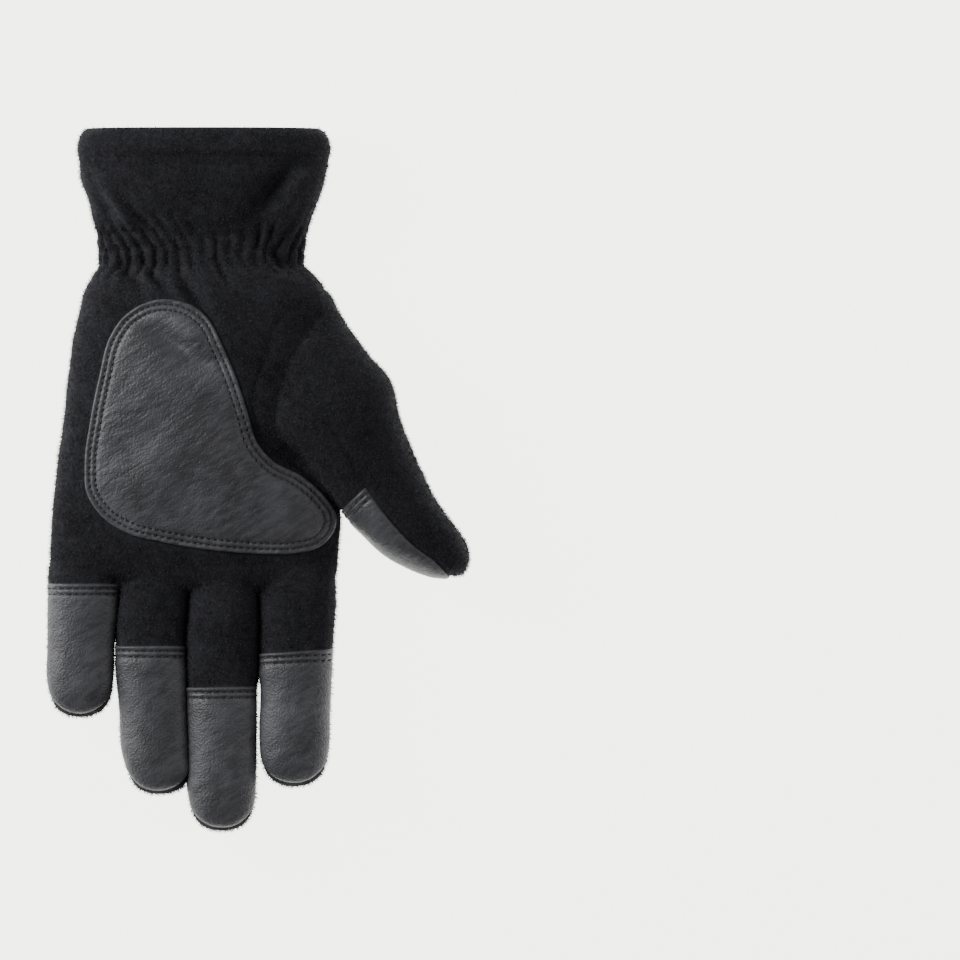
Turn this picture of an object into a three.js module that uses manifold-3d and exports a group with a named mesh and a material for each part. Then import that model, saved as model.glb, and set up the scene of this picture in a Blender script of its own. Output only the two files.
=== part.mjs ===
// An archery glove for the left hand, sewn from black fleece, with leather patches on the palm, the fingertips
// and the thumb. It lies on its back with the palm up: +Z is up, the fingers point to -Y and the thumb to +X.
// The origin is on the face that it rests on, below the middle of the palm. Lengths are in millimetres.
import * as THREE from "three";
import { mergeVertices } from "three/addons/utils/BufferGeometryUtils.js";
import Module from "manifold-3d";

const wasm = await Module();
wasm.setup();

// Cloth and leather
const fleeceWall = 2;
const hemWall = 3;
const leatherWall = 1;
const seamGap = 0.3;
const flattening = 1.5;

// Lengths along the glove, from the middle of the wrist elastic
const cuffLength = 44.8;
const handLength = 125.8;
const hemDepth = 10.4;
const elasticBreadth = 12.6;

// Widths and heights
const cuffWidth = 93;
const wristWidth = 77.8;
const cuffHeight = 27;
const wristHeight = 23;
const handHeight = 29;
const knuckleHeight = 20;
const fingerGap = 0.7;

// Fingers at their roots, and their lengths from root to tip
const littleWidth = 26.7;
const ringWidth = 24.8;
const middleWidth = 24.8;
const indexWidth = 28.5;
const littleLength = 52.9;
const ringLength = 75.9;
const middleLength = 89.4;
const indexLength = 72.9;
const fingerHeight = 18.5;
const tipLift = 4;
const littleRootRise = 5.5;

// Each finger's shape. tip is its width where the tip starts to round, swell, bow and lean change its width and
// place along the way, and all four are shares of its width. tall, tipTall and lift are shares of fingerHeight
// and tipLift. leather is the share of its length that the patch covers, and slant turns the patch's top edge,
// in degrees.
const fingers = [
  { name: "little", width: littleWidth, length: littleLength, rootRise: littleRootRise, tip: 0.9, tall: 0.92,
    tipTall: 0.785, swell: -0.02, bow: -0.01, lean: -0.045, lift: 0.75, leather: 0.945, slant: 0 },
  { name: "ring", width: ringWidth, length: ringLength, rootRise: 0, tip: 0.984, tall: 0.973,
    tipTall: 0.838, swell: 0.035, bow: -0.1, lean: 0.07, lift: 0.875, leather: 0.731, slant: 0 },
  { name: "middle", width: middleWidth, length: middleLength, rootRise: 0, tip: 0.984, tall: 1,
    tipTall: 0.865, swell: 0.06, bow: -0.01, lean: -0.02, lift: 1, leather: 0.602, slant: 1 },
  { name: "index", width: indexWidth, length: indexLength, rootRise: 0, tip: 0.885, tall: 1,
    tipTall: 0.865, swell: -0.02, bow: 0, lean: -0.045, lift: 0.875, leather: 0.693, slant: 4 },
];
const fingerEmbed = 15;
const embeddedShare = 0.97;

// The thumb, from the middle of its crotch section to its tip
const thumbLength = 43.7;
const thumbWidth = 32.5;
const thumbHeight = 26;
const thumbDegrees = -46;
const thumbPatchLength = 45;

// The wrist elastic gathers the fleece into ribs.
const ribs = 22;
const ribDepth = 1.3;

// Sides of the faceted cross-sections
const handSides = 2 * ribs;
const fingerSides = 16;
const hollowFingerSides = 12;
const thumbSides = 20;
const handRoundness = 2.5;
const fingerRoundness = 2.4;

// Places that follow from the sizes
const wristY = handLength * 0.559;
const crotchY = wristY - handLength;
const mouthY = wristY + cuffLength;
const palmWidth = fingers.reduce((sum, finger) => sum + finger.width, 0) + fingerGap * (fingers.length - 1);
const wellPast = 2 * (cuffLength + handLength);
const mouthOverrun = 5;

// The middle height of a section that is flattened where it rests
const restingMiddle = (height) => (height - flattening) / 2;

// A spot on the hand in plan, as shares of the palm's width and the hand's length from the origin
const spot = (x, y) => new THREE.Vector2(x * palmWidth, y * handLength);

// A spot on the cuff in plan, as shares of its width and its length from the wrist
const cuffSpot = (x, y) => new THREE.Vector2(x * cuffWidth, wristY + y * cuffLength);

// Sections of the hand from the cuff's mouth to the crotches. left and right are shares of the width named for
// the rows, and height is a share of their rise. wall is the cloth there, if it isn't single, gather says how
// strongly the elastic ribs the cloth, and push how far the section follows the end wall.
const cuffRows = [
  { y: mouthY, left: -0.416, right: 0.511, height: 0.88, wall: hemWall },
  { y: mouthY - hemDepth * 0.25, left: -0.442, right: 0.54, height: 0.96, wall: hemWall },
  { y: mouthY - hemDepth, left: -0.45, right: 0.547, height: 1, wall: hemWall },
  { y: mouthY - hemDepth * 1.1, left: -0.448, right: 0.545, height: 0.98 },
  { y: wristY + cuffLength * 0.58, left: -0.439, right: 0.532, height: 1 },
  { y: wristY + cuffLength * 0.41, left: -0.41, right: 0.505, height: 0.97 },
  { y: wristY + cuffLength * 0.26, left: -0.395, right: 0.478, height: 0.92 },
].map((row) => ({ ...row, width: cuffWidth, rise: cuffHeight }));
const wristRows = [
  { y: wristY + elasticBreadth * 0.5, left: -0.457, right: 0.557, height: 1, gather: 0.6 },
  { y: wristY, left: -0.454, right: 0.546, height: 0.97, gather: 1 },
  { y: wristY - elasticBreadth * 0.5, left: -0.454, right: 0.546, height: 1, gather: 1 },
].map((row) => ({ ...row, width: wristWidth, rise: wristHeight }));
const palmRows = [
  { down: 0.082, left: -0.348, right: 0.431, height: 0.88, gather: 0.5 },
  { down: 0.118, left: -0.367, right: 0.461, height: 0.94 },
  { down: 0.215, left: -0.396, right: 0.475, height: 0.99 },
  { down: 0.322, left: -0.418, right: 0.484, height: 1 },
  { down: 0.474, left: -0.438, right: 0.503, height: 0.98 },
  { down: 0.615, left: -0.462, right: 0.513, height: 0.93 },
  { down: 0.757, left: -0.479, right: 0.517, height: 0.84 },
].map((row) => ({ ...row, y: wristY - handLength * row.down, width: palmWidth, rise: handHeight }));
const knuckleRows = [
  { down: 0.85, left: -0.488, right: 0.513, height: 1.07 },
  { down: 0.92, left: -0.485, right: 0.507, height: 0.9 },
  { down: 0.965, left: -0.31, right: 0.49, height: 0.75, push: 0.5 },
  { down: 1, left: -0.27, right: 0.44, height: 0.55, push: 1 },
].map((row) => ({ ...row, y: wristY - handLength * row.down, width: palmWidth, rise: knuckleHeight }));
const handRows = [...cuffRows, ...wristRows, ...palmRows, ...knuckleRows];

// A finger's sections: first from its root to where the tip starts to round, then back from the tip's end, in
// shares of the tip's width. change is the share of the change from the root's size to the tip's, and the other
// columns are shares of the finger's own values.
const fingerRun = [
  { along: 0, change: 0, swell: 0, bow: 0, lean: 0, lift: 0 },
  { along: 0.3, change: 0.25, swell: 1, bow: 0.9, lean: 0.2, lift: 0 },
  { along: 0.65, change: 0.65, swell: 0.4, bow: 0.8, lean: 0.6, lift: 0.25 },
  { along: 1, change: 1, swell: 0, bow: 0.3, lean: 0.9, lift: 0.75 },
];
const fingerTip = [
  { back: 0.33, width: 0.955, height: 0.94, lift: 0.87 },
  { back: 0.22, width: 0.875, height: 0.86, lift: 0.93 },
  { back: 0.13, width: 0.77, height: 0.74, lift: 0.97 },
  { back: 0.05, width: 0.53, height: 0.5, lift: 1 },
];
const tipStart = 0.54;

// The thumb's sections, each from its inner to its outer edge in plan. The first lie in the palm, and the
// others are shares of the thumb's length and width from its crotch section.
const thumbBase = [
  { inner: spot(0.324, 0.347), outer: spot(0.472, 0.435), crown: 0.76 },
  { inner: spot(0.279, 0.23), outer: spot(0.531, 0.341), crown: 0.98 },
  { inner: spot(0.244, 0.103), outer: spot(0.611, 0.247), crown: 1.14 },
  { inner: spot(0.258, 0), outer: spot(0.684, 0.176), crown: 1.22 },
  { inner: spot(0.362, -0.074), outer: spot(0.711, 0.083), crown: 1.19 },
  { inner: spot(0.452, -0.141), outer: spot(0.739, 0.012), crown: 1.12 },
];
const thumbRun = [
  { inner: [-0.09, -0.485], outer: [0.1, 0.478], foot: 0, crown: 1.06 },
  { inner: [0.15, -0.48], outer: [0.35, 0.368], foot: 0, crown: 1.02 },
  { inner: [0.4, -0.457], outer: [0.6, 0.308], foot: 0, crown: 0.97 },
  { inner: [0.62, -0.375], outer: [0.78, 0.285], foot: 0.06, crown: 0.9, push: 0.3 },
  { inner: [0.79, -0.27], outer: [0.9, 0.225], foot: 0.16, crown: 0.83, push: 0.7 },
  { inner: [0.91, -0.15], outer: [0.97, 0.14], foot: 0.26, crown: 0.75, push: 1 },
];
const thumbTip = { at: [1, 0.01], height: 0.5 };

// Folds and hollows that the slack cloth takes: where each lies, half its length and breadth as shares of the
// elastic's breadth, the way it runs, and its depth as a share of the fleece's wall.
const folds = [
  { at: cuffSpot(-0.265, 0.33), along: 1.0, breadth: 0.42, degrees: -50, depth: 1.2 },
  { at: cuffSpot(0.316, 0.455), along: 1.1, breadth: 0.6, degrees: 45, depth: 1.6 },
  { at: spot(-0.03, 0.24), along: 1.3, breadth: 0.55, degrees: -12, depth: 1.1 },
  { at: spot(-0.08, 0.47), along: 1.2, breadth: 0.45, degrees: -40, depth: 0.9 },
  { at: spot(0.1, 0.45), along: 1.2, breadth: 0.45, degrees: -50, depth: 0.8 },
  { at: spot(0.3, -0.04), along: 1.4, breadth: 0.5, degrees: -38, depth: 2.0 },
];

// How far the folds lower the cloth at a point in plan
function foldDepth(x, y) {
  return folds.reduce((sum, fold) => {
    const turn = THREE.MathUtils.degToRad(fold.degrees);
    const dx = x - fold.at.x;
    const dy = y - fold.at.y;
    const along = (dx * Math.cos(turn) + dy * Math.sin(turn)) / (fold.along * elasticBreadth);
    const across = (dy * Math.cos(turn) - dx * Math.sin(turn)) / (fold.breadth * elasticBreadth);
    return sum + fold.depth * fleeceWall * Math.exp(-along * along - across * across);
  }, 0);
}

// One ring of a form. Its section stands on a line in plan from inner to outer, between foot and crown, and
// grow moves its surface outwards all round. Nothing reaches below the rest face.
function ring(section, sides, roundness, grow) {
  const middle = section.inner.clone().add(section.outer).multiplyScalar(0.5);
  const half = section.outer.clone().sub(section.inner).multiplyScalar(0.5);
  const way = half.clone().normalize();
  if (section.push) middle.addScaledVector(section.heading, section.push * grow);
  const thinnest = seamGap;
  const halfWidth = Math.max(half.length() + grow, thinnest);
  const halfHeight = Math.max((section.crown - section.foot) / 2 + grow, thinnest);
  const middleZ = (section.crown + section.foot) / 2;
  const points = [];
  for (let side = 0; side < sides; side++) {
    const angle = (2 * Math.PI * side) / sides;
    const rib = (section.gather ?? 0) * ribDepth * (side % 2);
    const across = Math.sign(Math.cos(angle)) * Math.abs(Math.cos(angle)) ** (2 / roundness);
    const rise = Math.sign(Math.sin(angle)) * Math.abs(Math.sin(angle)) ** (2 / roundness);
    const x = middle.x + way.x * across * (halfWidth - rib);
    const y = middle.y + way.y * across * (halfWidth - rib);
    const sag = Math.max(rise, 0) * foldDepth(x, y);
    const z = middleZ + rise * (halfHeight - rib) - sag;
    points.push(new THREE.Vector3(x, y, Math.max(z, -grow)));
  }
  return points;
}

// A closed form through a row of rings, with a fan over each end
function loft(rings, nose) {
  const sides = rings[0].length;
  const middleOf = (points) => points.reduce((sum, p) => sum.add(p), new THREE.Vector3()).divideScalar(sides);
  const points = [...rings.flat(), middleOf(rings[0]), nose ?? middleOf(rings.at(-1))];
  const start = rings.length * sides;
  const end = start + 1;
  const last = (rings.length - 1) * sides;
  const index = [];
  for (let side = 0; side < sides; side++) {
    const next = (side + 1) % sides;
    index.push(start, next, side, end, last + side, last + next);
    for (let row = 0; row < last; row += sides) {
      const near = row + side;
      const nearNext = row + next;
      index.push(near, nearNext, near + sides, nearNext, nearNext + sides, near + sides);
    }
  }
  return new THREE.BufferGeometry().setFromPoints(points).setIndex(index);
}

function toSolid(geometry) {
  const bare = geometry.clone();
  bare.deleteAttribute("normal");
  bare.deleteAttribute("uv");
  const merged = mergeVertices(bare, 1e-4);
  return new wasm.Manifold(
    new wasm.Mesh({
      numProp: 3,
      vertProperties: new Float32Array(merged.attributes.position.array),
      triVerts: new Uint32Array(merged.index.array),
    }),
  );
}

function toGeometry(solid) {
  const mesh = solid.getMesh();
  const geometry = new THREE.BufferGeometry();
  geometry.setAttribute("position", new THREE.BufferAttribute(mesh.vertProperties, 3));
  geometry.setIndex(new THREE.BufferAttribute(mesh.triVerts, 1));
  geometry.computeVertexNormals();
  return geometry;
}

// The hand from the cuff's mouth to the crotches, grown outwards by grow, or its hollow inside the cloth
function handForm(grow, hollow = false) {
  const sections = handRows.map((row) => ({
    inner: new THREE.Vector2(row.left * row.width, row.y),
    outer: new THREE.Vector2(row.right * row.width, row.y),
    foot: -flattening,
    crown: row.height * row.rise,
    gather: hollow ? 0 : row.gather,
    push: row.push,
    heading: new THREE.Vector2(0, -1),
    grow: hollow ? -(row.wall ?? fleeceWall) - (row.gather ?? 0) * ribDepth : grow,
  }));
  if (hollow) {
    const past = { ...sections[0] };
    past.inner = past.inner.clone().setY(mouthY + mouthOverrun);
    past.outer = past.outer.clone().setY(mouthY + mouthOverrun);
    sections.unshift(past);
  }
  const sides = hollow ? handSides / 2 : handSides;
  return toSolid(loft(sections.map((section) => ring(section, sides, handRoundness, section.grow))));
}

// The middle of a finger's root across the palm
function fingerMiddleX(finger) {
  const before = fingers.slice(0, fingers.indexOf(finger));
  const used = before.reduce((sum, other) => sum + other.width + fingerGap, 0);
  return -palmWidth / 2 + used + finger.width / 2;
}

// A finger's main places and sizes
function fingerSizes(finger) {
  const rootY = crotchY + finger.rootRise;
  return {
    rootX: fingerMiddleX(finger),
    rootY,
    tipX: fingerMiddleX(finger) + finger.lean * finger.width,
    tipY: rootY - finger.length,
    tipWidth: finger.tip * finger.width,
    height: finger.tall * fingerHeight,
    tipHeight: finger.tipTall * fingerHeight,
    lift: finger.lift * tipLift,
  };
}

// A finger's sections: the place, width, height and lift of each
function fingerSections(finger) {
  const { rootX, rootY, tipX, tipY, tipWidth, height, tipHeight, lift } = fingerSizes(finger);
  const runLength = finger.length - tipStart * tipWidth;
  const between = THREE.MathUtils.lerp;
  const embedded = {
    y: crotchY + fingerEmbed,
    x: rootX * embeddedShare,
    width: finger.width * embeddedShare,
    height: height * embeddedShare,
    lift: 0,
  };
  const run = fingerRun.map((row) => ({
    y: rootY - row.along * runLength,
    x: rootX + (row.bow * finger.bow + row.lean * finger.lean) * finger.width,
    width: row.swell * finger.swell * finger.width + between(finger.width, tipWidth, row.change),
    height: between(height, tipHeight, row.change),
    lift: row.lift * lift,
  }));
  const tip = fingerTip.map((row) => ({
    y: tipY + row.back * tipWidth,
    x: tipX,
    width: row.width * tipWidth,
    height: row.height * tipHeight,
    lift: row.lift * lift + (tipHeight * (1 - row.height)) / 2,
    push: 1,
  }));
  return [embedded, ...run, ...tip];
}

// A grown finger also starts further back inside the hand, so that leather over its start clears the fleece.
function fingerForm(finger, grow) {
  const rows = fingerSections(finger);
  rows[0].y += Math.max(grow, 0);
  const sections = rows.map((row) => ({
    inner: new THREE.Vector2(row.x - row.width / 2, row.y),
    outer: new THREE.Vector2(row.x + row.width / 2, row.y),
    foot: row.lift - flattening,
    crown: row.lift + row.height,
    push: row.push,
    heading: new THREE.Vector2(0, -1),
  }));
  const { tipX, tipY, tipHeight, lift } = fingerSizes(finger);
  const nose = new THREE.Vector3(tipX, tipY - grow, lift + restingMiddle(tipHeight));
  const sides = grow < 0 ? hollowFingerSides : fingerSides;
  return toSolid(loft(sections.map((section) => ring(section, sides, fingerRoundness, grow)), nose));
}

// A spot on the free thumb in plan, as shares of its length and width from the middle of its crotch section
const thumbHeading = new THREE.Vector2(1, 0).rotateAround(
  new THREE.Vector2(),
  THREE.MathUtils.degToRad(thumbDegrees),
);
const thumbSideways = new THREE.Vector2(-thumbHeading.y, thumbHeading.x);
const thumbRoot = spot(0.656, -0.147);
const thumbSpot = (along, across) =>
  thumbRoot
    .clone()
    .addScaledVector(thumbHeading, along * thumbLength)
    .addScaledVector(thumbSideways, across * thumbWidth);

function thumbForm(grow) {
  const base = thumbBase.map((row) => ({ inner: row.inner, outer: row.outer, foot: 0, crown: row.crown }));
  const run = thumbRun.map((row) => ({
    ...row,
    inner: thumbSpot(...row.inner),
    outer: thumbSpot(...row.outer),
  }));
  const sections = [...base, ...run].map((row) => ({
    ...row,
    foot: row.foot * thumbHeight - flattening,
    crown: row.crown * thumbHeight,
    heading: thumbHeading,
  }));
  const end = thumbSpot(...thumbTip.at).addScaledVector(thumbHeading, grow);
  const nose = new THREE.Vector3(end.x, end.y, thumbTip.height * thumbHeight);
  return toSolid(loft(sections.map((section) => ring(section, thumbSides, fingerRoundness, grow)), nose));
}

// A block that stands on an outline in plan, from well below the glove or from low to well above it
function prism(outline, low = -wellPast) {
  const shape = new THREE.Shape(outline);
  const geometry = new THREE.ExtrudeGeometry(shape, { depth: wellPast - low, bevelEnabled: false });
  return toSolid(geometry.translate(0, 0, low));
}

// The side seam's height along the glove, and the blocks above and below it
function seamBlocks(profile) {
  const along = new THREE.Vector3(0, 1, 0);
  const up = new THREE.Vector3(0, 0, 1);
  const across = new THREE.Vector3(1, 0, 0);
  const turn = new THREE.Matrix4().makeBasis(along, up, across);
  const block = (side) => {
    const edge = profile.map((p) => new THREE.Vector2(p.x, p.y + (side * seamGap) / 2));
    const far = [
      new THREE.Vector2(edge.at(-1).x, side * wellPast),
      new THREE.Vector2(edge[0].x, side * wellPast),
    ];
    const geometry = new THREE.ExtrudeGeometry(new THREE.Shape([...edge, ...far]), {
      depth: 2 * wellPast,
      bevelEnabled: false,
    });
    return toSolid(geometry.translate(0, 0, -wellPast).applyMatrix4(turn));
  };
  return { above: block(1), below: block(-1) };
}

const knuckleSeamY = crotchY + fingerEmbed * 1.1;
const knuckleSeam = restingMiddle(knuckleHeight * 0.9);
const palmSeamProfile = [
  new THREE.Vector2(wellPast, restingMiddle(cuffHeight)),
  new THREE.Vector2(mouthY - hemDepth, restingMiddle(cuffHeight)),
  new THREE.Vector2(wristY, restingMiddle(wristHeight)),
  new THREE.Vector2(wristY - handLength * 0.25, restingMiddle(handHeight)),
  new THREE.Vector2(wristY - handLength * 0.55, restingMiddle(handHeight)),
  new THREE.Vector2(knuckleSeamY, knuckleSeam),
  new THREE.Vector2(-wellPast, knuckleSeam),
];
function fingerSeamProfile(finger) {
  const { rootY, tipY, tipHeight, lift } = fingerSizes(finger);
  return [
    new THREE.Vector2(wellPast, knuckleSeam),
    new THREE.Vector2(rootY - finger.length * 0.25, knuckleSeam),
    new THREE.Vector2(tipY, lift + restingMiddle(tipHeight)),
    new THREE.Vector2(-wellPast, lift + restingMiddle(tipHeight)),
  ];
}

// Moves a line in plan sideways, to its left as it runs
function shifted(line, distance) {
  return line.map((point, i) => {
    const run = line[Math.min(i + 1, line.length - 1)].clone().sub(line[Math.max(i - 1, 0)]).normalize();
    return new THREE.Vector2(point.x - run.y * distance, point.y + run.x * distance);
  });
}

// The seam that sets the thumb into the palm, from the side of the wrist round the thumb's ball to its crotch
const crotchCorner = spot(0.525, -0.211);
const thumbSeamTop = new THREE.SplineCurve([
  spot(0.47, 0.44),
  spot(0.375, 0.397),
  spot(0.299, 0.339),
  spot(0.258, 0.235),
  spot(0.216, 0.118),
  spot(0.258, -0.003),
  spot(0.386, -0.091),
  spot(0.493, -0.168),
  crotchCorner,
]).getPoints(24);

// The same seam on the back, close to the side of the hand
const thumbSeamUnder = new THREE.SplineCurve([
  spot(0.47, 0.44),
  spot(0.425, 0.36),
  spot(0.42, 0.24),
  spot(0.43, 0.08),
  spot(0.45, -0.08),
  spot(0.5, -0.16),
  crotchCorner,
]).getPoints(16);

// The block on the thumb's side of one of these seams, its edge moved away from the thumb by spread
function thumbBlock(seam, spread) {
  const edge = shifted(seam, -spread);
  const start = edge[0];
  const end = edge.at(-1);
  return prism([
    ...edge,
    new THREE.Vector2(end.x, -wellPast),
    new THREE.Vector2(wellPast, -wellPast),
    new THREE.Vector2(wellPast, start.y + spread),
    new THREE.Vector2(start.x, start.y + spread),
  ]);
}
const palmSideBlock = (spread) => thumbBlock(thumbSeamTop, spread).add(thumbBlock(thumbSeamUnder, spread));
const backSideBlock = (spread) => thumbBlock(thumbSeamUnder, spread);

// The seam along the thumb, between its pad's panel and its back's panel
const thumbLine = [
  spot(0.1, 0.3),
  spot(0.246, 0.192),
  spot(0.375, 0.112),
  spot(0.486, 0.035),
  spot(0.556, -0.059),
  thumbSpot(-0.04, -0.15),
  thumbSpot(0.54, -0.17),
  thumbSpot(0.86, -0.12),
  thumbSpot(1, -0.05),
  thumbSpot(1.5, 0.1),
];
const padCorner = new THREE.Vector2(-wellPast, -wellPast);
const backCorner = new THREE.Vector2(wellPast, wellPast);

// The whole glove, as joined forms: its outer skin grown by some amount, and its hollow
const joined = (solids) => solids.reduce((sum, solid) => sum.add(solid));
const wholeForm = (grow) =>
  joined([handForm(grow), thumbForm(grow), ...fingers.map((finger) => fingerForm(finger, grow))]);
const hollow = joined([
  handForm(0, true),
  thumbForm(-fleeceWall),
  ...fingers.map((finger) => fingerForm(finger, -fleeceWall)),
]);

// The two main panels meet at the side seam, and the thumb is set in between them.
const palmSeam = seamBlocks(palmSeamProfile);
const hand = handForm(0);
const thumb = thumbForm(0);
const halves = { above: [hand.intersect(palmSeam.above)], below: [hand.intersect(palmSeam.below)] };
for (const finger of fingers) {
  const form = fingerForm(finger, 0);
  const seam = seamBlocks(fingerSeamProfile(finger));
  halves.above.push(form.intersect(seam.above));
  halves.below.push(form.intersect(seam.below));
}
const palmPanel = joined(halves.above)
  .subtract(hollow)
  .subtract(palmSideBlock(seamGap));
const backPanel = joined(halves.below)
  .subtract(hollow)
  .subtract(backSideBlock(seamGap));
const thumbSide = palmSeam.above.intersect(palmSideBlock(0)).add(backSideBlock(0));
const thumbShell = hand.add(thumb).intersect(thumbSide).subtract(hollow);
const padSide = prism([...shifted(thumbLine, -seamGap / 2), padCorner]);
const thumbPadPanel = thumbShell.intersect(padSide);
const thumbBackPanel = thumbShell.intersect(prism([...shifted(thumbLine, seamGap / 2), backCorner]));

// Leather lies on the fleece as a sheet, cut to an outline in plan.
const fleeceSkin = wholeForm(seamGap);
const leatherSheet = wholeForm(seamGap + leatherWall).subtract(fleeceSkin);

const palmPatchOutline = new THREE.SplineCurve([
  spot(-0.102, 0.415),
  spot(-0.223, 0.374),
  spot(-0.286, 0.303),
  spot(-0.32, 0.194),
  spot(-0.355, 0.05),
  spot(-0.374, -0.071),
  spot(-0.363, -0.162),
  spot(-0.313, -0.226),
  spot(-0.223, -0.275),
  spot(-0.102, -0.303),
  spot(0.074, -0.326),
  spot(0.251, -0.338),
  spot(0.358, -0.335),
  spot(0.448, -0.312),
  spot(0.491, -0.262),
  spot(0.495, -0.215),
  spot(0.455, -0.162),
  spot(0.379, -0.106),
  spot(0.286, -0.065),
  spot(0.23, -0.012),
  spot(0.196, 0.079),
  spot(0.161, 0.171),
  spot(0.109, 0.276),
  spot(0.054, 0.362),
  spot(-0.017, 0.403),
  spot(-0.102, 0.415),
]);
const palmPatch = leatherSheet.intersect(prism(palmPatchOutline.getPoints(60), knuckleSeam));

// A fingertip's leather stays a little inside the finger's outline, from a straight top edge round the tip.
const edgeMargin = 1;
function fingertipOutline(finger) {
  const rows = fingerSections(finger);
  const { tipX, tipY } = fingerSizes(finger);
  const topY = tipY + finger.leather * finger.length;
  const slope = Math.tan(THREE.MathUtils.degToRad(finger.slant));
  const right = [];
  const left = [];
  for (const [i, row] of rows.entries()) {
    const next = rows[i + 1];
    const half = row.width / 2 - edgeMargin;
    if (next && row.y > topY && next.y < topY) {
      const share = (row.y - topY) / (row.y - next.y);
      const x = THREE.MathUtils.lerp(row.x, next.x, share);
      const halfThere = THREE.MathUtils.lerp(row.width, next.width, share) / 2 - edgeMargin;
      left.push(new THREE.Vector2(x - halfThere, topY - slope * halfThere));
      right.push(new THREE.Vector2(x + halfThere, topY + slope * halfThere));
    } else if (row.y < topY) {
      left.push(new THREE.Vector2(row.x - half, row.y + edgeMargin * (row.push ?? 0)));
      right.push(new THREE.Vector2(row.x + half, row.y + edgeMargin * (row.push ?? 0)));
    }
  }
  return [...left, new THREE.Vector2(tipX, tipY + edgeMargin), ...right.reverse()];
}

// The thumb's leather covers its pad's panel from a straight top edge to the tip.
const thumbPatchTop = 1 - thumbPatchLength / thumbLength;
const thumbPatchBlock = [
  thumbSpot(thumbPatchTop + 0.1, -3),
  thumbSpot(3, -3),
  thumbSpot(3, 1),
  thumbSpot(thumbPatchTop - 0.14, 1),
];
const thumbPatchFoot = fleeceWall * 2;
const thumbPatch = thumbForm(seamGap + leatherWall)
  .subtract(fleeceSkin)
  .intersect(prism(thumbPatchBlock, thumbPatchFoot))
  .intersect(padSide);

// The assembled glove
const fleece = () => new THREE.MeshStandardMaterial({ color: 0x1f1e22, roughness: 0.95, metalness: 0 });
const leather = () => new THREE.MeshStandardMaterial({ color: 0x3a3a3e, roughness: 0.5, metalness: 0 });
const glove = new THREE.Group();
function addPiece(name, solid, material) {
  const piece = new THREE.Mesh(toGeometry(solid), material);
  piece.name = name;
  glove.add(piece);
}
addPiece("palm_panel", palmPanel, fleece());
addPiece("back_panel", backPanel, fleece());
addPiece("thumb_pad_panel", thumbPadPanel, fleece());
addPiece("thumb_back_panel", thumbBackPanel, fleece());
addPiece("palm_patch", palmPatch, leather());
addPiece("thumb_patch", thumbPatch, leather());
for (const finger of fingers) {
  const above = seamBlocks(fingerSeamProfile(finger)).above;
  const patch = leatherSheet.intersect(prism(fingertipOutline(finger))).intersect(above);
  addPiece(finger.name + "_finger_patch", patch, leather());
}

export default glove;
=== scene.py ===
import math

import bmesh
import bpy
import numpy as np
from mathutils import Matrix, Vector, noise
from mathutils.bvhtree import BVHTree
from mathutils.kdtree import KDTree


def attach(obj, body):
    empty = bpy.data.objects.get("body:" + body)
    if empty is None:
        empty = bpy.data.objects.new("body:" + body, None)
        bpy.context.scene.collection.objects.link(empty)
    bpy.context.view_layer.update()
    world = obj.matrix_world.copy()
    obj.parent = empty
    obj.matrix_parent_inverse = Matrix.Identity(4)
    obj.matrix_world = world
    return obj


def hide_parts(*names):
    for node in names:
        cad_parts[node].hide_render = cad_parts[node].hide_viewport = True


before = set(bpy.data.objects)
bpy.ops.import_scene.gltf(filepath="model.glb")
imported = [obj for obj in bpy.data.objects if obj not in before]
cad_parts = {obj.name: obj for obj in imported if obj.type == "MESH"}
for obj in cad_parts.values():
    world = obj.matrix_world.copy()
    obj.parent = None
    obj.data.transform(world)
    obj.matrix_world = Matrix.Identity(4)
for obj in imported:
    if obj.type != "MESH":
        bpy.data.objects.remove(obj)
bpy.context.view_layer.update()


# The studio: a sheet of opal acrylic lit from below, as product tables have, a soft box beyond the cuff
# on the left, a weaker one on the right and an even white room. The camera looks straight down on the
# palm through a long lens, and the glove fills the left half of its picture.
def paint(hex_colour):
    """A linear colour with alpha from sRGB hex."""
    shares = [int(hex_colour[i : i + 2], 16) / 255 for i in (1, 3, 5)]
    return [s / 12.92 if s <= 0.04045 else ((s + 0.055) / 1.055) ** 2.4 for s in shares] + [1]


def add_node(tree, kind, inputs=None, **settings):
    """Adds a node with its settings. Its inputs are values, or other nodes' outputs to link."""
    node = tree.nodes.new(kind)
    for name, value in settings.items():
        setattr(node, name, value)
    for name, value in (inputs or {}).items():
        if isinstance(value, bpy.types.NodeSocket):
            tree.links.new(value, node.inputs[name])
        else:
            node.inputs[name].default_value = value
    return node


def new_material(name):
    """An empty node material and its node tree."""
    material = bpy.data.materials.new(name)
    material.use_nodes = True
    material.node_tree.nodes.clear()
    return material, material.node_tree


picture_middle = (0.1067, -0.0148)
picture_width = 0.3552
picture_height_above_floor = 0.012
lens = 250
sensor = 36
camera_data = bpy.data.cameras.new("camera")
camera_data.lens = lens
camera_data.sensor_width = sensor
camera_data.clip_end = 20
camera = bpy.data.objects.new("camera", camera_data)
camera.location = (*picture_middle, picture_width * lens / sensor + picture_height_above_floor)
bpy.context.scene.collection.objects.link(camera)
bpy.context.scene.camera = camera

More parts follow.
